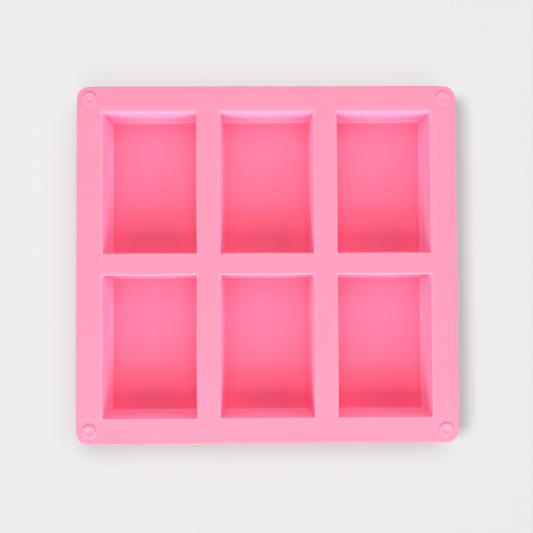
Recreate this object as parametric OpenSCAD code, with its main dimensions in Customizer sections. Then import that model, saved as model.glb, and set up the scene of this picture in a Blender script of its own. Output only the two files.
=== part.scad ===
// Six-cavity silicone soap mould: a flat deck, six straight-sided cups that hang below it
// and a small dimpled stud in each corner.
// The origin is on the surface that the cups stand on, under the middle of the tray.
// +X runs across the three columns, +Y runs to the back across the two rows, +Z is up.

/* [Soap bars] */
// Width of one bar, across the tray
bar_w = 53; // [36:0.5:80]
// Length of one bar, front to back
bar_l = 80.5; // [50:0.5:120]
// Depth of a cavity, from the deck's top to its floor
cavity_depth = 23; // [12:0.5:50]
// Radius of a cavity's four upright corners
upright_r = 0.8; // [0.3:0.1:6]
// Radius between a cavity's walls and its floor
floor_r = 1.6; // [0.4:0.1:5]
// Radius of the rounded edge around each mouth
mouth_r = 0.7; // [0.3:0.1:2]

/* [Deck] */
// Gap between two neighbouring columns of cavities
column_web = 13.5; // [9:0.5:30]
// Gap between the front and back rows of cavities
row_web = 12.3; // [9:0.1:30]
// Margin to the left and right of the outer cavities
side_margin = 15; // [13:0.5:40]
// Margin in front of and behind the cavities
end_margin = 14.8; // [13:0.1:40]
// Thickness of the deck
deck_t = 2.2; // [1.6:0.1:5]
// Radius of the deck's four corners, seen from above
deck_corner_r = 6.5; // [3:0.5:12]
// Radius of the deck's outer edge, top and bottom
deck_edge_r = 0.8; // [0.3:0.1:2]

/* [Cups] */
// Thickness of a cup's side walls
wall_t = 1.8; // [1:0.1:2.6]
// Thickness of a cup's floor
floor_t = 2; // [1.2:0.1:5]
// Radius of a cup's outer bottom edge
heel_r = 1.5; // [0.5:0.1:2]
// Radius of the fillet between a cup's outside and the deck
root_r = 1.5; // [0.5:0.1:1.8]

/* [Corner studs] */
// Diameter of a stud
stud_d = 8.1; // [6:0.1:10]
// Height of a stud above the deck
stud_h = 0.8; // [0.5:0.1:3]
// Radius of a stud's top outer edge
stud_edge_r = 0.4; // [0.1:0.1:0.4]
// Diameter of the dimple in a stud's top
dimple_d = 4.2; // [2:0.1:5]
// Depth of the dimple
dimple_depth = 0.5; // [0.2:0.1:0.5]
// Distance from the deck's two nearest edges to a stud's centre
stud_inset = 7.3; // [6:0.1:8]

/* [Hidden] */
$fn = 64;
ROWS = ["front", "back"];
COLUMNS = ["left", "centre", "right"];
SIDES = ["left", "right"];

function cup_name(row, column) = str("cavity_", ROWS[row], "_", COLUMNS[column]);
function stud_name(row, side) = str("corner_stud_", ROWS[row], "_", SIDES[side]);

SILICONE = [0.95, 0.42, 0.58];
SHADE = [0.90, 0.36, 0.52];
STUD = [0.97, 0.50, 0.65];

tray_w = 3 * bar_w + 2 * column_web + 2 * side_margin;
tray_l = 2 * bar_l + row_web + 2 * end_margin;
tray_h = cavity_depth + floor_t;
deck_bottom = tray_h - deck_t;
pitch_x = bar_w + column_web;
pitch_y = bar_l + row_web;

// Small radii give way where a thin deck or a tight corner leaves them no room.
min_land = 0.2;
mouth_edge = min(mouth_r, deck_t - min_land);
deck_edge = min(deck_edge_r, (deck_t - min_land) / 2);
cup_corner_r = upright_r + wall_t;
heel_bend = min(heel_r, cup_corner_r - min_land);

// Runs a profile round a rounded rectangle. The profile's x is measured from the corner's
// centre, so x = corner_r lies on the rectangle, and its y is the height.
module follow_edge(w, l, corner_r) {
    for (turn = [0:3]) {
        across = (turn % 2 == 0 ? w : l) - 2 * corner_r;
        along = (turn % 2 == 0 ? l : w) - 2 * corner_r;
        rotate(90 * turn) translate([across / 2, along / 2, 0]) {
            rotate([90, 0, 0]) linear_extrude(along) children();
            rotate_extrude(angle = 90) children();
        }
    }
}

// A solid block whose rim is the given profile, from z = low to z = high.
module rimmed_block(w, l, corner_r, low, high) {
    follow_edge(w, l, corner_r) children();
    translate([corner_r - w / 2, corner_r - l / 2, low])
        cube([w - 2 * corner_r, l - 2 * corner_r, high - low]);
}

// Half of a block's section, from its corner's centre at x = 0 out to x = reach,
// with its outer corners rounded at the bottom and at the top.
module section(reach, low, high, low_r, high_r) {
    difference() {
        translate([0, low]) square([reach, high - low]);
        if (low_r > 0) translate([reach - low_r, low + low_r]) mirror([0, 1]) corner_waste(low_r);
        if (high_r > 0) translate([reach - high_r, high - high_r]) corner_waste(high_r);
    }
}

// The shape of a cast bar: a rounded rectangle whose bottom edges are rounded all round,
// meeting in mitres at the corners, from z = low to z = high.
module bar_block(w, l, corner_r, low, high, low_r) {
    intersection() {
        rimmed_block(w, l, corner_r, low, high)
            section(corner_r, low, high, 0, 0);
        side_view(w, l, low, high, low_r);
        rotate(90) side_view(l, w, low, high, low_r);
    }
}

// A bar's section across its width, with rounded bottom corners, run along its length.
module side_view(w, l, low, high, low_r) {
    rotate([90, 0, 0]) linear_extrude(l, center = true)
        for (side = [0:1]) mirror([side, 0])
            section(w / 2, low, high, low_r, 0);
}

// What a rounded corner of radius r takes off a square one.
module corner_waste(r) {
    difference() {
        square(r + 1);
        circle(r);
    }
}

module at_cavity(row, column) {
    translate([(column - 1) * pitch_x, (row - 0.5) * pitch_y, 0]) children();
}

module at_corner(row, side) {
    translate([
        (2 * side - 1) * (tray_w / 2 - stud_inset),
        (2 * row - 1) * (tray_l / 2 - stud_inset),
        0
    ]) children();
}

// Flat sheet with six mouths. Each mouth is a straight opening with a rounded lip round it.
module deck() {
    hole_w = bar_w + 2 * mouth_edge;
    hole_l = bar_l + 2 * mouth_edge;
    hole_r = upright_r + mouth_edge;
    color(SILICONE) union() {
        difference() {
            rimmed_block(tray_w, tray_l, deck_corner_r, deck_bottom, tray_h)
                section(deck_corner_r, deck_bottom, tray_h, deck_edge, deck_edge);
            for (row = [0:1], column = [0:2])
                at_cavity(row, column)
                    rimmed_block(hole_w, hole_l, hole_r, deck_bottom - 1, tray_h + 1)
                        section(hole_r, deck_bottom - 1, tray_h + 1, 0, 0);
        }
        for (row = [0:1], column = [0:2])
            at_cavity(row, column)
                follow_edge(bar_w, bar_l, upright_r)
                    translate([upright_r + mouth_edge, 0]) mirror([1, 0])
                        section(mouth_edge, deck_bottom, tray_h, 0, mouth_edge);
    }
}

// One straight-sided cup, open at the top, where it meets the deck's underside.
module cavity_cup() {
    cup_w = bar_w + 2 * wall_t;
    cup_l = bar_l + 2 * wall_t;
    color(SHADE) union() {
        difference() {
            rimmed_block(cup_w, cup_l, cup_corner_r, 0, deck_bottom)
                section(cup_corner_r, 0, deck_bottom, heel_bend, 0);
            bar_block(bar_w, bar_l, upright_r, floor_t, deck_bottom + 1, floor_r);
        }
        follow_edge(cup_w, cup_l, cup_corner_r)
            translate([cup_corner_r + root_r, deck_bottom - root_r])
                mirror([1, 0]) intersection() {
                    square(root_r);
                    corner_waste(root_r);
                }
    }
}

// Low round button with a dished dimple in its top.
module corner_stud() {
    stud_r = stud_d / 2;
    dish_r = (pow(dimple_d / 2, 2) + pow(dimple_depth, 2)) / (2 * dimple_depth);
    color(STUD) rotate_extrude()
        difference() {
            section(stud_r, tray_h, tray_h + stud_h, 0, stud_edge_r);
            intersection() {
                translate([0, tray_h + stud_h - dimple_depth + dish_r]) circle(dish_r, $fn = 180);
                translate([0, tray_h]) square([stud_r, stud_h + 1]);
            }
        }
}

deck();
for (row = [0:1], column = [0:2])
    at_cavity(row, column) cavity_cup();
for (row = [0:1], side = [0:1])
    at_corner(row, side) corner_stud();
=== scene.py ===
"""Six-cavity silicone soap mould: a flexible deck with six cups below it and four corner studs.

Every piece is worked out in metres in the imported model's own frame: origin under the middle
of the tray on the surface that it stands on, +X to the right, +Y to the back, +Z up.
"""
import math

import bmesh
import bpy
import numpy as np
from bpy.props import FloatProperty, FloatVectorProperty, PointerProperty
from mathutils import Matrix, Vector


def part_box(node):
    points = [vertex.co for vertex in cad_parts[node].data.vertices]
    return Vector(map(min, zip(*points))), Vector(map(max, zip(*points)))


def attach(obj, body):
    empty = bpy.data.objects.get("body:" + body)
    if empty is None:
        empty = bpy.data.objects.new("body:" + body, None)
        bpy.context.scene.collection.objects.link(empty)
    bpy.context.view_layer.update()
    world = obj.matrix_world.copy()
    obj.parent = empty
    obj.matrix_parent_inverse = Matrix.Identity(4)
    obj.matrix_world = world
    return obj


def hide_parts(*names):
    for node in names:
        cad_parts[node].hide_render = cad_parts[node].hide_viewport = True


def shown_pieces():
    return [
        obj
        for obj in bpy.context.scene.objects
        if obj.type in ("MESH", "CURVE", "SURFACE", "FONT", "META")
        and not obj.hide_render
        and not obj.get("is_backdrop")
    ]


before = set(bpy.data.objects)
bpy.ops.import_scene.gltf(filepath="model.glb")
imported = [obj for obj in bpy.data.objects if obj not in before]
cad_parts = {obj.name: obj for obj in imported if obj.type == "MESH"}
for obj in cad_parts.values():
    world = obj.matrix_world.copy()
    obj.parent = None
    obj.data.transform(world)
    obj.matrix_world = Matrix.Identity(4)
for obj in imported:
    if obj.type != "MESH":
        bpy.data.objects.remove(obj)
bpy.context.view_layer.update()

bl_info = {
    "name": "Silicone soap mould",
    "version": (1, 0, 0),
    "blender": (4, 5, 0),
    "location": "View3D > Sidebar > Soap mould",
    "description": "Builds a six-cavity silicone soap mould on a plain studio floor",
    "category": "Add Mesh",
}

MM = 0.001
BODY = "root"
ROWS = ("front", "back")
COLUMNS = ("left", "centre", "right")
SIDES = ("left", "right")

DECK_LOW, DECK_HIGH = (np.array(corner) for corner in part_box("deck"))
DECK_BOTTOM, DECK_TOP = DECK_LOW[2], DECK_HIGH[2]
CUPS = {
    (row, column): tuple(np.array(corner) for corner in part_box(f"cavity_{row}_{column}"))
    for row in ROWS
    for column in COLUMNS
}
STUDS = {
    (row, side): tuple(np.array(corner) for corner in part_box(f"corner_stud_{row}_{side}"))
    for row in ROWS
    for side in SIDES
}


# ---------------------------------------------------------------- settings


class MouldSizes(bpy.types.PropertyGroup):
    """Sizes of the moulding that can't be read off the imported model's boxes."""

    wall_t: FloatProperty(
        name="Wall", description="Thickness of a cup's side walls",
        default=1.8 * MM, unit="LENGTH", subtype="DISTANCE")
    floor_t: FloatProperty(
        name="Floor", description="Thickness of a cup's floor",
        default=2.0 * MM, unit="LENGTH", subtype="DISTANCE")
    root_r: FloatProperty(
        name="Root fillet", description="Fillet between a cup's outside and the deck",
        default=1.5 * MM, unit="LENGTH", subtype="DISTANCE")
    heel_r: FloatProperty(
        name="Heel radius", description="Radius of a cup's outer bottom edge",
        default=1.5 * MM, unit="LENGTH", subtype="DISTANCE")
    upright_r: FloatProperty(
        name="Upright corner radius", description="Radius of a cavity's four upright corners",
        default=0.8 * MM, unit="LENGTH", subtype="DISTANCE")
    floor_r: FloatProperty(
        name="Floor fillet", description="Radius between a cavity's walls and its floor",
        default=1.6 * MM, unit="LENGTH", subtype="DISTANCE")
    mouth_r: FloatProperty(
        name="Mouth radius", description="Radius of the rounded edge round a mouth",
        default=0.7 * MM, unit="LENGTH", subtype="DISTANCE")
    deck_corner_r: FloatProperty(
        name="Deck corner radius", description="Radius of the deck's corners from above",
        default=6.5 * MM, unit="LENGTH", subtype="DISTANCE")
    deck_edge_r: FloatProperty(
        name="Deck edge radius", description="Radius of the deck's outer edge",
        default=0.8 * MM, unit="LENGTH", subtype="DISTANCE")
    parting_line: FloatProperty(
        name="Parting line", description="How far the trimmed parting line stands out",
        default=0.12 * MM, unit="LENGTH", subtype="DISTANCE")
    dimple_r: FloatProperty(
        name="Dimple radius", description="Radius of the dimple in a corner stud",
        default=2.1 * MM, unit="LENGTH", subtype="DISTANCE")
    dimple_depth: FloatProperty(
        name="Dimple depth", description="Depth of the dimple in a corner stud",
        default=0.5 * MM, unit="LENGTH", subtype="DISTANCE")
    wall_bow: FloatProperty(
        name="Wall bow", description="How far a wall leans into its cavity halfway along",
        default=0.35 * MM, unit="LENGTH", subtype="DISTANCE")
    deck_wave: FloatProperty(
        name="Deck wave", description="Height of the soft waves in the deck",
        default=0.12 * MM, unit="LENGTH", subtype="DISTANCE")
    corner_droop: FloatProperty(
        name="Corner droop", description="How far the free corners of the deck hang down",
        default=0.5 * MM, unit="LENGTH", subtype="DISTANCE")


class MouldColours(bpy.types.PropertyGroup):
    """Colours of the silicone, of the light and shade painted on it, and of the floor it stands on."""

    deck: FloatVectorProperty(
        name="Deck", description="Colour of the silicone on the deck and studs",
        default=(0.93, 0.262, 0.386), subtype="COLOR", min=0, max=1)
    deck_cloud: FloatVectorProperty(
        name="Deck clouds", description="Colour of the deck where the pigment lies thicker",
        default=(0.92, 0.246, 0.370), subtype="COLOR", min=0, max=1)
    # The cups' colours are deeper than the deck's: painted shade for the deep light bounced about
    # inside the cavities. Their clouds vary at random.
    cup: FloatVectorProperty(
        name="Cup floor", description="Colour of the silicone on the cups' floors",
        default=(1.0, 0.190, 0.322), subtype="COLOR", min=0, max=1)
    cup_cloud: FloatVectorProperty(
        name="Cup floor clouds", description="Colour of the floors where the pigment lies thicker",
        default=(1.0, 0.174, 0.305), subtype="COLOR", min=0, max=1)
    # Painted light: this paler colour is mixed into the cups' walls, the mouths' lips and the studs.
    # It paints light let through the silicone, the pool of light on the back walls, and highlights.
    thin: FloatVectorProperty(
        name="Thin wall", description="Colour of the cups' thin walls, which let light through",
        default=(1.0, 0.49, 0.71), subtype="COLOR", min=0, max=1)
    dust: FloatVectorProperty(
        name="Dust", description="Colour of the fine dust that silicone picks up",
        default=(0.90, 0.78, 0.80), subtype="COLOR", min=0, max=1)
    sheen: FloatVectorProperty(
        name="Sheen", description="Tint of the soft sheen that silicone has at grazing angles",
        default=(0.85, 0.60, 1.0), subtype="COLOR", min=0, max=1)
    ground: FloatVectorProperty(
        name="Floor", description="Colour of the studio floor",
        default=(0.32, 0.318, 0.32), subtype="COLOR", min=0, max=1)


class StudioSettings(bpy.types.PropertyGroup):
    """Camera place and light strengths."""

    camera_height: FloatProperty(
        name="Camera height", description="Height of the camera above the deck",
        default=0.4066, unit="LENGTH", subtype="DISTANCE")
    camera_x: FloatProperty(
        name="Camera X", description="Camera's place to the right of the middle",
        default=-0.0048, unit="LENGTH", subtype="DISTANCE")
    camera_y: FloatProperty(
        name="Camera Y", description="Camera's place behind the middle",
        default=-0.0128, unit="LENGTH", subtype="DISTANCE")
    camera_pitch: FloatProperty(
        name="Camera pitch", description="Turn of the camera about X from straight down",
        default=math.radians(1.597), unit="ROTATION", subtype="ANGLE")
    camera_yaw: FloatProperty(
        name="Camera lean", description="Turn of the camera about Y from straight down",
        default=math.radians(-0.606), unit="ROTATION", subtype="ANGLE")
    camera_roll: FloatProperty(
        name="Camera roll", description="Turn of the camera about Z",
        default=math.radians(-0.276), unit="ROTATION", subtype="ANGLE")
    lens: FloatProperty(
        name="Lens", description="Focal length in millimetres on a 36 mm sensor",
        default=48.5, min=1)
    tray_light: FloatProperty(
        name="Tray light", description="Strength of all the tray's softboxes together",
        default=1.0, min=0)
    floor_light: FloatProperty(
        name="Floor light", description="Strength of all the floor's softboxes together",
        default=1.0, min=0)
    sky: FloatProperty(
        name="Sky", description="Strength of the even light from all round",
        default=0.075, min=0)


# ---------------------------------------------------------------- paths and profiles


def rounded_loop(half_x, half_y, radius, cuts_x, cuts_y, cuts_corner):
    """Closed rounded rectangle, anticlockwise from the front end of its right side.

    Side k faces along the angle 90k. A point on it is reach along that normal plus
    -run to run along the tangent; the corner after it is a quarter circle of the radius.
    Returns points, outward normals, the side's number and how far round the corner (0 to 1,
    or -1 on a straight run) as whole arrays.
    """
    points, normals, sides, turns = [], [], [], []
    for k in range(4):
        angle = k * math.pi / 2
        normal = np.array([math.cos(angle), math.sin(angle)])
        tangent = np.array([-normal[1], normal[0]])
        reach, width = (half_x, half_y) if k % 2 == 0 else (half_y, half_x)
        run = width - radius
        cuts = cuts_y if k % 2 == 0 else cuts_x
        along = np.linspace(-run, run, cuts, endpoint=False)
        points.append(reach * normal + along[:, None] * tangent)
        normals.append(np.broadcast_to(normal, (cuts, 2)))
        turns.append(np.full(cuts, -1.0))
        turn = np.linspace(0, 1, cuts_corner, endpoint=False)
        facing = (
            np.cos(turn * math.pi / 2)[:, None] * normal
            + np.sin(turn * math.pi / 2)[:, None] * tangent
        )
        points.append((reach - radius) * normal + run * tangent + radius * facing)
        normals.append(facing)
        turns.append(turn)
        sides.append(np.full(cuts + cuts_corner, k))
    return tuple(np.concatenate(part) for part in (points, normals, sides, turns))


def arc(centre, radius, start, end, cuts):
    """Points (offset, height) on a circle's arc: centre plus radius times (cos, sin)."""
    angles = np.radians(np.linspace(start, end, cuts + 1))
    return np.stack([centre[0] + radius * np.cos(angles), centre[1] + radius * np.sin(angles)], 1)


def straight(start, end, cuts):
    """Points (offset, height) spaced evenly from start to end, both included."""
    share = np.linspace(0, 1, cuts + 1)[:, None]
    return np.array(start) * (1 - share) + np.array(end) * share


def joined(*runs):
    """Profile runs put end to end, each without the first point that it shares."""
    return np.concatenate([runs[0]] + [run[1:] for run in runs[1:]])


def carried(points, normals, profile):
    """Profile carried along a path: path point plus offset times normal, at the height."""
    rows = points[None] + profile[:, None, :1] * normals[None]
    heights = np.broadcast_to(profile[:, None, 1:], rows.shape[:2] + (1,))
    return np.concatenate([rows, heights], 2)


def round_mouth(half, radius, profile):
    """Profile (offset, height) run round a mouth: each row is the mouth's rounded rectangle
    grown by the offset, whose corners close up to a mitre where it shrinks by more than the
    corner radius."""
    rings = [
        rounded_loop(half[0] + offset, half[1] + offset, max(radius + offset, MITRE), *MOUTH_CUTS)[0]
        for offset in profile[:, 0]
    ]
    heights = np.broadcast_to(profile[:, None, 1:], (len(rings), len(rings[0]), 1))
    return np.concatenate([np.array(rings), heights], 2)


def shrunk(ring, shares):
    """Rings that shrink a flat ring to its centre: each is the ring times one share."""
    rows = ring[None] * np.array(shares)[:, None, None]
    rows[:, :, 2] = ring[None, :, 2]
    return rows


def grid_faces(rows, columns):
    """Quads of a grid of rows by columns, with the last column joined to the first."""
    row, column = np.meshgrid(np.arange(rows - 1), np.arange(columns), indexing="ij")
    beyond = (column + 1) % columns
    corners = [row * columns + column, row * columns + beyond,
               (row + 1) * columns + beyond, (row + 1) * columns + column]
    return np.stack(corners, 2).reshape(-1, 4)


# ---------------------------------------------------------------- the flex of the silicone


def cavity_half(low, high, sizes):
    """Half width and half length of a cavity, from its cup's box."""
    return (high - low)[:2] / 2 - sizes.wall_t - sizes.root_r


def smooth(share):
    """Soft step from 0 to 1: 3s^2 - 2s^3 with s held between 0 and 1."""
    share = np.clip(share, 0, 1)
    return share * share * (3 - 2 * share)


def flexed(points, sizes):
    """Silicone's own slack, the same function for every piece, so that neighbours still meet.

    Each cavity's walls lean in by a bow of (1 - s^2) along and sin(pi h) + RIM_BOW smooth(h)
    up, which fades over BOW_REACH to either side of the wall. The deck waves by a sum of slow
    sines, with their turns in radians a metre. Its free corners droop, from DROOP_FROM of the
    way out and fully DROOP_OVER beyond that. Waves and droop start at LOOSE_FROM of the height
    and are full LOOSE_OVER above that.
    """
    moved = points.copy()
    x, y, z = points[:, 0], points[:, 1], points[:, 2]
    height = z / DECK_TOP
    bulge = np.sin(np.clip(height, 0, 1) * math.pi) + RIM_BOW * smooth(height)
    for low, high in CUPS.values():
        centre = (low + high) / 2
        half = cavity_half(low, high, sizes)
        local = points[:, :2] - centre[:2]
        for axis, other in ((0, 1), (1, 0)):
            beside = np.abs(local[:, axis]) - half[axis]
            fade = np.clip(1 - (beside / BOW_REACH) ** 2, 0, 1) ** 2
            along = np.clip(1 - (local[:, other] / half[other]) ** 2, 0, 1)
            moved[:, axis] -= np.sign(local[:, axis]) * sizes.wall_bow * bulge * fade * along
    wave = (
        np.sin(41 * x + 0.7) * np.cos(37 * y - 0.4)
        + 0.6 * np.sin(83 * x - 59 * y + 1.9)
        + 0.4 * np.cos(131 * y + 47 * x)
    )
    reach = np.abs(np.stack([x / DECK_HIGH[0], y / DECK_HIGH[1]], 1)).min(1)
    droop = smooth((reach - DROOP_FROM) / DROOP_OVER)
    loose = smooth((height - LOOSE_FROM) / LOOSE_OVER)
    moved[:, 2] += loose * (sizes.deck_wave * wave - sizes.corner_droop * droop)
    return moved


BOW_REACH = 6 * MM
RIM_BOW = 0.45
DROOP_FROM, DROOP_OVER = 0.8, 0.2
LOOSE_FROM, LOOSE_OVER = 0.3, 0.6


# ---------------------------------------------------------------- meshes


def make_piece(name, points, faces, thin, sizes, material, replaced):
    """Welds a grid into a closed piece, flexes it and puts it on the mould's body.

    The share of painted light at each point, which paints light let through the walls and highlights
    on the lips and studs, is kept as an attribute.
    """
    mesh = bpy.data.meshes.new(name)
    mesh.from_pydata(flexed(points, sizes), [], faces)
    mesh.attributes.new("thin", "FLOAT", "POINT").data.foreach_set("value", thin)
    welded = bmesh.new()
    welded.from_mesh(mesh)
    bmesh.ops.remove_doubles(welded, verts=welded.verts, dist=WELD)
    bmesh.ops.recalc_face_normals(welded, faces=welded.faces)
    gaps = sum(1 for edge in welded.edges if not edge.is_manifold)
    welded.to_mesh(mesh)
    welded.free()
    if gaps:
        raise RuntimeError(f"{name} has {gaps} open edges")
    mesh.shade_smooth()
    mesh.set_sharp_from_angle(angle=SHARP)
    mesh.materials.append(material)
    piece = bpy.data.objects.new(name, mesh)
    bpy.context.scene.collection.objects.link(piece)
    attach(piece, BODY)
    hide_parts(replaced)
    return piece


WELD = 0.001 * MM
SHARP = math.radians(40)
MOUTH_CUTS = (26, 38, 8)
MITRE = 0.05 * MM


def cup_points(low, high, sizes):
    """A cup as one profile carried round the cavity, from the floor's middle up the inside,
    over the rim, down the outside and back to the middle of its bottom."""
    centre = (low + high)[:2] / 2
    half = cavity_half(low, high, sizes)
    wall, root, heel, bend = sizes.wall_t, sizes.root_r, sizes.heel_r, sizes.floor_r
    inside = joined(
        arc((-bend, sizes.floor_t + bend), bend, -90, 0, ARC_CUTS),
        straight((0, sizes.floor_t + bend), (0, DECK_BOTTOM), 14),
    )
    profile = joined(
        inside,
        straight((0, DECK_BOTTOM), (wall + root, DECK_BOTTOM), 4),
        arc((wall + root, DECK_BOTTOM - root), root, 90, 180, ARC_CUTS),
        straight((wall, DECK_BOTTOM - root), (wall, heel), 12),
        arc((wall - heel, heel), heel, 0, -90, ARC_CUTS),
    )
    wall_rows = round_mouth(half, sizes.upright_r, profile)
    floor_rows = shrunk(wall_rows[0], FLOOR_SHARES)
    bottom_rows = shrunk(wall_rows[-1], FLOOR_SHARES[::-1])
    rows = np.concatenate([floor_rows, wall_rows, bottom_rows])
    inset = np.concatenate([bend + (1 - FLOOR_SHARES) * half[0], -inside[:, 0]])
    # The cups' outsides carry a small share of painted light, and the hollow a share of painted light
    # worked out wall by wall.
    thin = np.full(rows.shape[:2], OUTSIDE_PAINTED_LIGHT)
    thin[:len(inset)] = cavity_thin(rows[:len(inset)], inset, centre, half, sizes)
    rows[:, :, :2] += centre
    return rows.reshape(-1, 3), grid_faces(*rows.shape[:2]), thin.ravel()


def cavity_thin(hollow, inset, centre, half, sizes):
    """Share of painted light on a cavity's walls, for rows that lie the insets in from them: painted
    light let through the silicone and a painted pool of light on the back walls.

    It is full at the top of a back wall on the tray's outside and fades down it, sooner towards its
    ends by an arch of 1 - ARCH s^2, which paints the pool of light. It is a set wall share on the
    other outer walls, less on walls that face a gap between cups, and 0 a little way in on the floor.
    """
    local_x, local_y = hollow[:, :, 0], hollow[:, :, 1]
    depth = (DECK_BOTTOM - hollow[:, :, 2]) / (DECK_BOTTOM - sizes.floor_t)
    arch = 1 - ARCH * np.clip(local_x / half[0], -1, 1) ** 2
    at_back = near_wall(local_y, half[1], sizes)
    at_gap = near_wall(np.abs(local_x), half[0], sizes) * (local_x * centre[0] < GAP_SIDE)
    back_level = (1 - BACK_FADE * smooth(depth / arch)) * (1 if centre[1] > 0 else GAP_BACK_PAINTED_LIGHT)
    by_wall = back_level * at_back + (1 - at_back) * (WALL_PAINTED_LIGHT + (GAP_PAINTED_LIGHT - WALL_PAINTED_LIGHT) * at_gap)
    return (1 - smooth(inset / PAINTED_LIGHT_FADE))[:, None] * by_wall


def near_wall(place, wall, sizes):
    """1 at a wall, fading to 0 at NEAR_FILLETS floor fillets in from it."""
    return smooth((place - wall) / sizes.floor_r + NEAR_FILLETS)


FLOOR_SHARES = np.concatenate([np.linspace(0, 0.9, 11), [0.93, 0.955, 0.975, 0.99]])
ARC_CUTS = 8
NEAR_FILLETS = 1.5
# How far in on a cavity's floor the painted light fades out.
PAINTED_LIGHT_FADE = 2.1 * MM
# Shares of the painted light colour, which stands in for light let through the walls and for
# highlights, and how fast they change.
WALL_PAINTED_LIGHT, OUTSIDE_PAINTED_LIGHT, STUD_PAINTED_LIGHT = 0.72, 0.22, 0.12
BACK_FADE, ARCH = 0.8, 0.6
GAP_PAINTED_LIGHT, GAP_BACK_PAINTED_LIGHT = 0.3, 0.8
LIP_PAINTED_LIGHT, LIP_PAINTED_HIGHLIGHT, LIP_SPREAD = 0.58, 0.28, 0.12
# A side faces a gap where its place times its cavity's is below this, in square metres.
GAP_SIDE = 1e-6


def corner_route(turn, start, corner, end, radius):
    """Path from start past the corner to end, for turn from 0 to 1.

    With no radius the two straight legs take half the turn each. With a radius the legs
    take a quarter each and the quarter circle between them takes the middle half.
    """
    into = (corner - start) / np.linalg.norm(corner - start)
    out = (end - corner) / np.linalg.norm(end - corner)
    leg_end, leg_start = corner - radius * into, corner + radius * out
    straight_share = 0.5 if radius == 0 else 0.25
    first = np.clip(turn / straight_share, 0, 1)[:, None]
    last = np.clip((turn - 1 + straight_share) / straight_share, 0, 1)[:, None]
    legs = np.where(
        turn[:, None] <= 0.5,
        start + (leg_end - start) * first,
        leg_start + (end - leg_start) * last,
    )
    if radius == 0:
        return legs
    angle = ((turn - straight_share) / (1 - 2 * straight_share) * math.pi / 2)[:, None]
    bend = leg_end + radius * out + radius * (-out * np.cos(angle) + into * np.sin(angle))
    inside = (turn > straight_share) & (turn < 1 - straight_share)
    return np.where(inside[:, None], bend, legs)


def cell_boundary(path, sides, turns, half, radius, extents, corner_radii):
    """For each point of a mouth's path, the matching point on its cell's boundary: straight
    out from a side, and round the cell's corner for the points of a mouth's corner."""
    edge = path.copy()
    for k in range(4):
        angle = k * math.pi / 2
        normal = np.array([round(math.cos(angle)), round(math.sin(angle))])
        tangent = np.array([-normal[1], normal[0]])
        reach, width = (half[0], half[1]) if k % 2 == 0 else (half[1], half[0])
        on_side = (sides == k) & (turns < 0)
        along = path[on_side] @ tangent
        edge[on_side] = extents[k] * normal + along[:, None] * tangent
        on_corner = (sides == k) & (turns >= 0)
        start = extents[k] * normal + (width - radius) * tangent
        corner = extents[k] * normal + extents[(k + 1) % 4] * tangent
        end = (reach - radius) * normal + extents[(k + 1) % 4] * tangent
        edge[on_corner] = corner_route(turns[on_corner], start, corner, end, corner_radii[k])
    return edge


def cell_lines(axis, flat):
    """Where the deck's cells meet along an axis: its flat ends and midway between cups."""
    middles = sorted({round(float((low + high)[axis] / 2), 6) for low, high in CUPS.values()})
    return [-flat] + [(a + b) / 2 for a, b in zip(middles, middles[1:])] + [flat]


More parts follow.
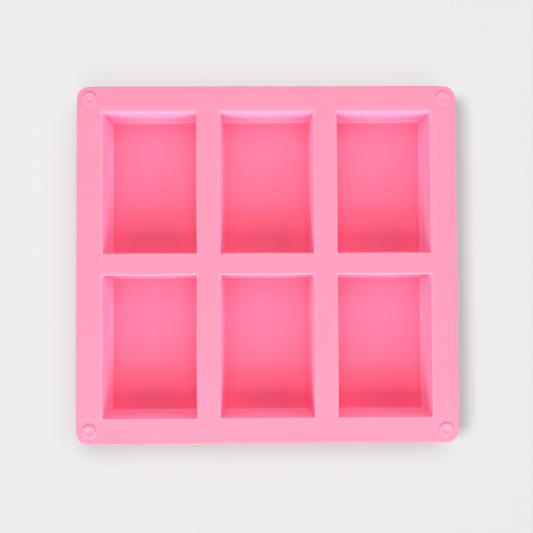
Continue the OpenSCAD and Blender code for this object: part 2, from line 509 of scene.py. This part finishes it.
def deck_cell(row, column, sizes):
    """The part of the deck round one mouth: lip, top, outer edge and underside.

    The share of painted light is a set lip share on a mouth's upright inside and 1 at its back. It
    falls to a smaller share of that over the rounded lip, a painted highlight, and to 0 a little way
    out on the top.
    """
    low, high = CUPS[row, column]
    centre = ((low + high) / 2)[:2]
    half = cavity_half(low, high, sizes)
    edge_r, lip_r = sizes.deck_edge_r, sizes.mouth_r
    path, normals, sides, turns = rounded_loop(half[0], half[1], sizes.upright_r, *MOUTH_CUTS)

    place_x, place_y = COLUMNS.index(column), ROWS.index(row)
    lines_x, lines_y = (cell_lines(axis, DECK_HIGH[axis] - edge_r) for axis in (0, 1))
    extents = (
        lines_x[place_x + 1] - centre[0], lines_y[place_y + 1] - centre[1],
        centre[0] - lines_x[place_x], centre[1] - lines_y[place_y],
    )
    outer = (place_x == len(COLUMNS) - 1, place_y == len(ROWS) - 1, place_x == 0, place_y == 0)
    corner_radii = [
        sizes.deck_corner_r - edge_r if outer[k] and outer[(k + 1) % 4] else 0 for k in range(4)
    ]
    edge = cell_boundary(path, sides, turns, half, sizes.upright_r, extents, corner_radii)

    lip = carried(path, normals, joined(
        straight((0, DECK_BOTTOM), (0, DECK_TOP - lip_r), 2),
        arc((lip_r, DECK_TOP - lip_r), lip_r, 180, 90, ARC_CUTS),
    ))
    top = spread(lip[-1], edge, DECK_TOP)
    under = spread(lip[0], edge, DECK_BOTTOM)
    sheet = np.concatenate([under[::-1], lip[1:], top[1:]])
    up_lip = np.clip((lip[:, 0, 2] - DECK_TOP + lip_r) / lip_r, 0, 1)
    at_back = near_wall(sheet[:, :, 1], half[1], sizes)
    over_top = np.clip(1 - SPREAD_SHARES[1:] / LIP_SPREAD, 0, 1)
    # Painted light on the mouth's upright inside and a painted highlight over its rounded lip.
    thin = np.concatenate([
        np.zeros(len(under) - 1), 1 - (1 - LIP_PAINTED_HIGHLIGHT) * smooth(up_lip), LIP_PAINTED_HIGHLIGHT * over_top])
    thin = thin[:, None] * (LIP_PAINTED_LIGHT + (1 - LIP_PAINTED_LIGHT) * at_back)
    sheet[:, :, :2] += centre
    faces = grid_faces(*sheet.shape[:2])

    rim_line = edge + centre
    inner = DECK_HIGH[:2] - sizes.deck_corner_r
    from_core = rim_line - np.clip(rim_line, -inner, inner)
    distance = np.linalg.norm(from_core, axis=1)
    on_rim = distance > sizes.deck_corner_r - edge_r - WELD
    facing = from_core / np.maximum(distance, WELD)[:, None]
    ridge = sizes.parting_line
    middle = (DECK_BOTTOM + DECK_TOP) / 2
    rim = carried(rim_line, facing, joined(
        arc((0, DECK_TOP - edge_r), edge_r, 90, 0, ARC_CUTS),
        straight((edge_r, DECK_TOP - edge_r), (edge_r, middle + ridge), 1),
        arc((edge_r, middle), ridge, 90, -90, 6),
        straight((edge_r, middle - ridge), (edge_r, DECK_BOTTOM + edge_r), 1),
        arc((0, DECK_BOTTOM + edge_r), edge_r, 0, -90, ARC_CUTS),
    ))
    rim_faces = grid_faces(*rim.shape[:2])
    kept = on_rim[rim_faces % rim.shape[1]].all(1)
    points = np.concatenate([sheet.reshape(-1, 3), rim.reshape(-1, 3)])
    thin = np.concatenate([thin.ravel(), np.zeros(rim.shape[0] * rim.shape[1])])
    return points, np.concatenate([faces, rim_faces[kept] + sheet.shape[0] * sheet.shape[1]]), thin


def spread(ring, edge, height):
    """Rows from a mouth's ring out to its cell's boundary: (1 - share) ring + share edge."""
    target = np.concatenate([edge, np.full((len(edge), 1), height)], 1)
    shares = SPREAD_SHARES[:, None, None]
    return ring[None] * (1 - shares) + target[None] * shares


SPREAD_SHARES = np.array([0, 0.03, 0.1, 0.22, 0.36, 0.5, 0.64, 0.78, 0.9, 0.97, 1.0])


def lathe(profile, cuts):
    """Profile (radius, height) turned about the Z axis: (r cos a, r sin a, z)."""
    angles = np.linspace(0, 2 * math.pi, cuts, endpoint=False)
    rows = np.stack([
        profile[:, :1] * np.cos(angles),
        profile[:, :1] * np.sin(angles),
        np.broadcast_to(profile[:, 1:], (len(profile), cuts)),
    ], 2)
    return rows.reshape(-1, 3), grid_faces(len(profile), cuts)


def stud_profile(radius, low, high, sizes):
    """Half section of a stud: a flared foot, an upright side, a rounded shoulder, a flat ring
    and a dished dimple with a soft edge."""
    foot, shoulder, soft = 0.4 * MM, 0.4 * MM, 0.3 * MM
    dish_r, depth = sizes.dimple_r, sizes.dimple_depth
    bowl_r = (dish_r**2 + depth**2) / (2 * depth)
    lip_angle = math.degrees(math.asin(dish_r / bowl_r))
    return joined(
        straight((0, low), (radius + foot, low), 4),
        arc((radius + foot, low + foot), foot, 270, 180, 5),
        arc((radius - shoulder, high - shoulder), shoulder, 0, 90, 6),
        straight((radius - shoulder, high), (dish_r + soft, high), 3),
        straight((dish_r + soft, high), (dish_r, high), 1),
        arc((0, high - depth + bowl_r), bowl_r, lip_angle - 90, -90, 10),
    )


# ---------------------------------------------------------------- materials


def input_link(tree, socket, value):
    """Links value to the socket if it is a socket, and sets it if it is a number or colour."""
    if isinstance(value, bpy.types.NodeSocket):
        tree.links.new(value, socket)
    else:
        socket.default_value = value


def noise(tree, vector, scale, detail=2.0, roughness=0.5):
    """A noise texture's factor at so many features a metre."""
    node = tree.nodes.new("ShaderNodeTexNoise")
    input_link(tree, node.inputs["Vector"], vector)
    input_link(tree, node.inputs["Scale"], scale)
    node.inputs["Detail"].default_value = detail
    node.inputs["Roughness"].default_value = roughness
    return node.outputs["Fac"]


def remap(tree, value, low, high, to_low, to_high):
    """Value scaled from low..high to to_low..to_high, and held there."""
    node = tree.nodes.new("ShaderNodeMapRange")
    for name, amount in (("Value", value), ("From Min", low), ("From Max", high),
                         ("To Min", to_low), ("To Max", to_high)):
        input_link(tree, node.inputs[name], amount)
    return node.outputs["Result"]


def sums(tree, operation, first, second):
    """The result of one operation on two values, such as their sum or the larger of them."""
    node = tree.nodes.new("ShaderNodeMath")
    node.operation = operation
    input_link(tree, node.inputs[0], first)
    input_link(tree, node.inputs[1], second)
    return node.outputs["Value"]


def mixed(tree, factor, first, second):
    """Colour mixed from first to second by a factor."""
    node = tree.nodes.new("ShaderNodeMix")
    node.data_type = "RGBA"
    input_link(tree, node.inputs["Factor"], factor)
    input_link(tree, node.inputs["A"], first)
    input_link(tree, node.inputs["B"], second)
    return node.outputs["Result"]


def silicone_group():
    """Shader node group for moulded silicone: cloudy pigment, a blasted-steel grain copied from
    the mould's tool, uneven gloss and a little dust."""
    group = bpy.data.node_groups.new("moulded_silicone", "ShaderNodeTree")
    for name, kind, default in (
        ("Vector", "NodeSocketVector", (0, 0, 0)),
        ("Colour", "NodeSocketColor", (0.9, 0.3, 0.4, 1)),
        ("Deep Colour", "NodeSocketColor", (0.8, 0.2, 0.3, 1)),
        ("Dust Colour", "NodeSocketColor", (0.9, 0.8, 0.8, 1)),
        ("Cloudiness", "NodeSocketFloat", 0.5),
        ("Roughness", "NodeSocketFloat", 0.4),
        ("Roughness Spread", "NodeSocketFloat", 0.1),
        ("Grain Scale", "NodeSocketFloat", 2500.0),
        ("Dust", "NodeSocketFloat", 0.3),
    ):
        socket = group.interface.new_socket(name=name, in_out="INPUT", socket_type=kind)
        socket.default_value = default
    for name, kind in (("Colour", "NodeSocketColor"), ("Roughness", "NodeSocketFloat"),
                       ("Height", "NodeSocketFloat")):
        group.interface.new_socket(name=name, in_out="OUTPUT", socket_type=kind)
    given = group.nodes.new("NodeGroupInput").outputs
    result = group.nodes.new("NodeGroupOutput").inputs
    vector = given["Vector"]

    clouds = remap(group, noise(group, vector, 28.0, 3.0, 0.55), 0.35, 0.65, 0.0, 1.0)
    streaks = remap(group, noise(group, vector, 130.0, 2.0), 0.3, 0.7, 0.0, 0.5)
    pigment = sums(group, "MULTIPLY", sums(group, "ADD", clouds, streaks), given["Cloudiness"])
    tinted = mixed(group, pigment, given["Colour"], given["Deep Colour"])

    specks = remap(group, noise(group, vector, 1400.0, 0.0), 0.78, 0.84, 0.0, 1.0)
    patches = remap(group, noise(group, vector, 45.0, 1.0), 0.45, 0.65, 0.0, 1.0)
    film = remap(group, noise(group, vector, 60.0, 4.0, 0.7), 0.5, 0.8, 0.0, 0.12)
    settled = sums(group, "MAXIMUM", sums(group, "MULTIPLY", specks, patches), film)
    dusty = sums(group, "MULTIPLY", settled, given["Dust"])
    group.links.new(mixed(group, dusty, tinted, given["Dust Colour"]), result["Colour"])

    handled = remap(group, noise(group, vector, 70.0, 3.0, 0.6), 0.3, 0.7, -0.5, 0.5)
    gloss = sums(group, "ADD", given["Roughness"],
                 sums(group, "MULTIPLY", handled, given["Roughness Spread"]))
    group.links.new(sums(group, "ADD", gloss, sums(group, "MULTIPLY", dusty, 0.25)),
                    result["Roughness"])

    coarse = noise(group, vector, given["Grain Scale"], 2.0, 0.6)
    ripple = sums(group, "MULTIPLY", noise(group, vector, 110.0, 1.0), 3.0)
    group.links.new(sums(group, "ADD", sums(group, "ADD", coarse, ripple),
                         sums(group, "MULTIPLY", dusty, 0.6)), result["Height"])
    return group


def silicone_material(name, colours, base, cloud, finish):
    """Silicone with the group's colour, gloss and grain, and a soft sheen at grazing angles.

    A finish gives the group's own values, the grain's depth and the sheen. Where the piece carries a
    share of painted light as an attribute, the paler painted light colour is mixed in by that share.
    """
    material = bpy.data.materials.new(name)
    material.use_nodes = True
    tree = material.node_tree
    shader = tree.nodes["Principled BSDF"]
    skin = tree.nodes.new("ShaderNodeGroup")
    skin.node_tree = bpy.data.node_groups.get("moulded_silicone") or silicone_group()
    place = tree.nodes.new("ShaderNodeTexCoord")
    tree.links.new(place.outputs["Object"], skin.inputs["Vector"])
    for socket, value in finish["skin"].items():
        skin.inputs[socket].default_value = value
    skin.inputs["Dust Colour"].default_value = (*colours.dust, 1)
    # Mixes the painted light colour into both base colours by the share of painted light that each
    # point carries.
    amount = tree.nodes.new("ShaderNodeAttribute")
    amount.attribute_name = "thin"
    for socket, colour in (("Colour", base), ("Deep Colour", cloud)):
        tree.links.new(
            mixed(tree, amount.outputs["Fac"], (*colour, 1), (*colours.thin, 1)),
            skin.inputs[socket])
    bump = tree.nodes.new("ShaderNodeBump")
    bump.inputs["Strength"].default_value = 0.5
    bump.inputs["Distance"].default_value = finish["grain_depth"]
    tree.links.new(skin.outputs["Height"], bump.inputs["Height"])
    tree.links.new(skin.outputs["Colour"], shader.inputs["Base Color"])
    tree.links.new(skin.outputs["Roughness"], shader.inputs["Roughness"])
    tree.links.new(bump.outputs["Normal"], shader.inputs["Normal"])
    shader.inputs["IOR"].default_value = SILICONE_IOR
    shader.inputs["Specular IOR Level"].default_value = finish["specular"]
    shader.inputs["Sheen Weight"].default_value = finish["sheen"]
    shader.inputs["Sheen Roughness"].default_value = 0.4
    shader.inputs["Sheen Tint"].default_value = (*colours.sheen, 1)
    return material


SILICONE_IOR = 1.41
DECK_FINISH = {
    "skin": {"Cloudiness": 0.5, "Roughness": 0.46, "Roughness Spread": 0.08,
             "Grain Scale": 2600.0, "Dust": 0.25},
    "grain_depth": 0.02 * MM,
    "sheen": 0.3,
    "specular": 0.5,
}
CUP_FINISH = {
    "skin": {"Cloudiness": 0.5, "Roughness": 0.36, "Roughness Spread": 0.08,
             "Grain Scale": 3400.0, "Dust": 0.15},
    "grain_depth": 0.012 * MM,
    "sheen": 0.5,
    "specular": 0.15,
}


def ground_material(colours):
    """Matt studio paper with a barely visible tooth."""
    material = bpy.data.materials.new("studio_paper")
    material.use_nodes = True
    tree = material.node_tree
    shader = tree.nodes["Principled BSDF"]
    place = tree.nodes.new("ShaderNodeTexCoord").outputs["Object"]
    shade = remap(tree, noise(tree, place, 9.0, 2.0), 0.3, 0.7, 0.0, 1.0)
    lighter = (*(min(1, channel * 1.01) for channel in colours.ground), 1)
    tree.links.new(mixed(tree, shade, (*colours.ground, 1), lighter), shader.inputs["Base Color"])
    shader.inputs["Roughness"].default_value = 0.9
    shader.inputs["Specular IOR Level"].default_value = 0.1
    return material


# ---------------------------------------------------------------- operators


def deck_silicone(context):
    """The deck's and studs' satin finish."""
    colours = context.scene.mould_colours
    return bpy.data.materials.get("deck_silicone") or silicone_material(
        "deck_silicone", colours, colours.deck, colours.deck_cloud, DECK_FINISH)


def cup_silicone(context):
    """The cups' smoother finish, from a polished core, with a floor colour deeper than the deck's as
    painted shade and the paler painted light on the walls.
    """
    colours = context.scene.mould_colours
    return bpy.data.materials.get("cup_silicone") or silicone_material(
        "cup_silicone", colours, colours.cup, colours.cup_cloud, CUP_FINISH)


class MOULD_OT_deck(bpy.types.Operator):
    """Builds the flat deck with its six rounded mouths and its outer edge"""

    bl_idname = "soap_mould.deck"
    bl_label = "Deck"

    def execute(self, context):
        sizes = context.scene.mould_sizes
        points, faces, thin, count = [], [], [], 0
        for row, column in CUPS:
            cell_points, cell_faces, cell_thin = deck_cell(row, column, sizes)
            points.append(cell_points)
            faces.append(cell_faces + count)
            thin.append(cell_thin)
            count += len(cell_points)
        make_piece("deck_sheet", np.concatenate(points), np.concatenate(faces),
                   np.concatenate(thin), sizes, deck_silicone(context), "deck")
        return {"FINISHED"}


class MOULD_OT_cups(bpy.types.Operator):
    """Builds the six cups below the deck"""

    bl_idname = "soap_mould.cups"
    bl_label = "Cups"

    def execute(self, context):
        sizes = context.scene.mould_sizes
        for (row, column), (low, high) in CUPS.items():
            points, faces, thin = cup_points(low, high, sizes)
            make_piece(f"cup_{row}_{column}", points, faces, thin, sizes,
                       cup_silicone(context), f"cavity_{row}_{column}")
        return {"FINISHED"}


class MOULD_OT_studs(bpy.types.Operator):
    """Builds the four dimpled corner studs"""

    bl_idname = "soap_mould.studs"
    bl_label = "Corner studs"

    def execute(self, context):
        sizes = context.scene.mould_sizes
        for (row, side), (low, high) in STUDS.items():
            radius = (high - low)[0] / 2
            points, faces = lathe(stud_profile(radius, low[2], high[2], sizes), 96)
            points[:, :2] += ((low + high) / 2)[:2]
            # The studs carry a small even share of painted light, which paints them paler as if more
            # brightly lit.
            make_piece(f"stud_{row}_{side}", points, faces, np.full(len(points), STUD_PAINTED_LIGHT),
                       sizes, deck_silicone(context), f"corner_stud_{row}_{side}")
        return {"FINISHED"}


def add_softbox(name, elevation, bearing, distance, size, power, tint, lit):
    """Rectangular area light that faces the tray, and lights only the pieces in lit.

    The elevation is up from the floor and the bearing is round from the front towards +X,
    both in degrees. The distance is from the middle of the deck, in metres.
    """
    light = bpy.data.lights.new(name, "AREA")
    light.shape = "RECTANGLE"
    light.size, light.size_y = size
    light.energy = power
    light.color = tint
    lamp = bpy.data.objects.new(name, light)
    bpy.context.scene.collection.objects.link(lamp)
    up, round_ = math.radians(elevation), math.radians(bearing)
    towards = Vector((math.cos(up) * math.sin(round_), -math.cos(up) * math.cos(round_), math.sin(up)))
    lamp.location = towards * distance + Vector((0, 0, DECK_TOP))
    lamp.rotation_euler = towards.to_track_quat("Z", "Y").to_euler()
    lamp.light_linking.receiver_collection = lit
    return lamp


FLOOR_REACH = 6.0
BOUNCES = 10
WHITE = (1, 1, 1)
# Each softbox: elevation and bearing in degrees, distance, width and height in metres, watts.
TRAY_SOFTBOXES = {
    "front": (32, 0, 1.2, (1.3, 0.5), 16.8),
    "front_high": (55, 0, 1.2, (1.0, 0.4), 5.3),
    "back_high": (68, 180, 1.2, (0.7, 0.7), 3.7),
    "back_left": (35, -120, 1.2, (0.6, 0.5), 2.4),
    "back_right": (35, 120, 1.2, (0.6, 0.5), 3.2),
}
# The low fills stand in for light that has gone through the silicone, and have its colour.
FILL_TINT = (1.0, 0.4, 0.6)
FILL_SOFTBOXES = {
    "fill_left": (13, -130, 1.2, (0.6, 0.25), 2.7),
    "fill_right": (13, 130, 1.2, (0.6, 0.25), 2.7),
}
FLOOR_SOFTBOXES = {
    "floor_left": (62, -90, 8.0, (2.4, 2.4), 804.0),
    "floor_front": (60, 15, 8.0, (4.8, 4.8), 284.0),
    "floor_top": (88, 0, 8.0, (5.3, 5.3), 100.0),
    "floor_back": (66, 170, 8.0, (4.3, 4.3), 512.0),
    "floor_right": (60, 110, 8.0, (4.8, 4.8), 242.0),
}


def paint_sky(tree, strength):
    """White light from all round at a low strength, behind a pale backdrop that gives none."""
    light = tree.nodes["Background"]
    light.inputs["Color"].default_value = (1, 1, 1, 1)
    light.inputs["Strength"].default_value = strength
    backdrop = tree.nodes.new("ShaderNodeBackground")
    backdrop.inputs["Color"].default_value = BACKDROP
    choice = tree.nodes.new("ShaderNodeMixShader")
    seen = tree.nodes.new("ShaderNodeLightPath").outputs["Is Camera Ray"]
    tree.links.new(seen, choice.inputs["Fac"])
    tree.links.new(light.outputs["Background"], choice.inputs[1])
    tree.links.new(backdrop.outputs["Background"], choice.inputs[2])
    tree.links.new(choice.outputs["Shader"], tree.nodes["World Output"].inputs["Surface"])


BACKDROP = (0.72, 0.72, 0.72, 1)


class MOULD_OT_stage(bpy.types.Operator):
    """Adds the floor, the soft lights and the camera"""

    bl_idname = "soap_mould.stage"
    bl_label = "Stage"

    def execute(self, context):
        scene, studio = context.scene, context.scene.mould_studio
        mesh = bpy.data.meshes.new("studio_floor")
        corners = np.array([(-1, -1, 0), (1, -1, 0), (1, 1, 0), (-1, 1, 0)]) * FLOOR_REACH
        mesh.from_pydata(corners, [], [(0, 1, 2, 3)])
        mesh.materials.append(ground_material(scene.mould_colours))
        floor = bpy.data.objects.new("studio_floor", mesh)
        scene.collection.objects.link(floor)
        floor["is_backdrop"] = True

        tray = bpy.data.collections.new("tray")
        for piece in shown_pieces():
            tray.objects.link(piece)
        ground = bpy.data.collections.new("ground")
        ground.objects.link(floor)
        for softboxes, tint, lit, strength in (
            (TRAY_SOFTBOXES, WHITE, tray, studio.tray_light),
            (FILL_SOFTBOXES, FILL_TINT, tray, studio.tray_light),
            (FLOOR_SOFTBOXES, WHITE, ground, studio.floor_light),
        ):
            for name, (*place, power) in softboxes.items():
                add_softbox(name, *place, power * strength, tint, lit)
        world = scene.world or bpy.data.worlds.new("studio_sky")
        scene.world = world
        world.use_nodes = True
        paint_sky(world.node_tree, studio.sky)

        camera = bpy.data.objects.new("camera", bpy.data.cameras.new("camera"))
        scene.collection.objects.link(camera)
        camera.location = (studio.camera_x, studio.camera_y, DECK_TOP + studio.camera_height)
        camera.rotation_euler = (studio.camera_pitch, studio.camera_yaw, studio.camera_roll)
        camera.data.lens = studio.lens
        scene.camera = camera
        scene.view_settings.view_transform = "Standard"
        scene.cycles.diffuse_bounces = BOUNCES
        scene.cycles.max_bounces = BOUNCES + 4
        return {"FINISHED"}


class MOULD_PT_panel(bpy.types.Panel):
    """Sidebar panel with the mould's sizes and one button for each group of pieces"""

    bl_idname = "MOULD_PT_panel"
    bl_label = "Soap mould"
    bl_space_type = "VIEW_3D"
    bl_region_type = "UI"
    bl_category = "Soap mould"

    def draw(self, context):
        scene = context.scene
        for settings in (scene.mould_sizes, scene.mould_colours, scene.mould_studio):
            box = self.layout.box()
            for name in settings.bl_rna.properties.keys():
                if name not in ("rna_type", "name"):
                    box.prop(settings, name)
        for operator in OPERATORS:
            self.layout.operator(operator.bl_idname)


OPERATORS = (MOULD_OT_deck, MOULD_OT_cups, MOULD_OT_studs, MOULD_OT_stage)
CLASSES = (MouldSizes, MouldColours, StudioSettings, *OPERATORS, MOULD_PT_panel)
SETTINGS = {
    "mould_sizes": MouldSizes,
    "mould_colours": MouldColours,
    "mould_studio": StudioSettings,
}


def register():
    for item in CLASSES:
        bpy.utils.register_class(item)
    for name, group in SETTINGS.items():
        setattr(bpy.types.Scene, name, PointerProperty(type=group))


def unregister():
    for name in SETTINGS:
        delattr(bpy.types.Scene, name)
    for item in reversed(CLASSES):
        bpy.utils.unregister_class(item)


def main():
    """Registers the add-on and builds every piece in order."""
    register()
    for operator in OPERATORS:
        getattr(bpy.ops.soap_mould, operator.bl_idname.split(".")[1])()


if __name__ == "__main__":
    main()
